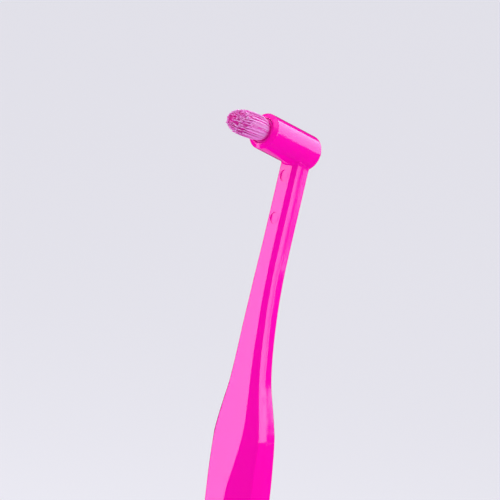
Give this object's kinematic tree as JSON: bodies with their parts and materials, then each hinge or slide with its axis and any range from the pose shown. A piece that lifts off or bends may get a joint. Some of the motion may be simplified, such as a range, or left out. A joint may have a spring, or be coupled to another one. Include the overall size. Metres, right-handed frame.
{
  "type": "single tuft toothbrush",
  "caption": "Slim toothbrush with an eight-sided grip, a bent neck and one small round tuft in a short barrel.",
  "frame": {"origin": "centre of the flat butt end of the grip", "axes": "+Z along the grip towards the head, -Y the way that the tuft points, +X to the right when looking along +Y at the tuft"},
  "size_m": [0.0088, 0.0168, 0.1656],
  "materials": {
    "pink_plastic": "glossy moulded plastic in hot pink",
    "lilac_filament": "fine nylon filament in lilac pink",
    "anchor_metal": "bare nickel silver strip"
  },
  "bodies": {
    "root": {"handle": "pink_plastic", "filament_tuft": "lilac_filament", "tuft_anchor": "anchor_metal"}
  },
  "joints": []
}
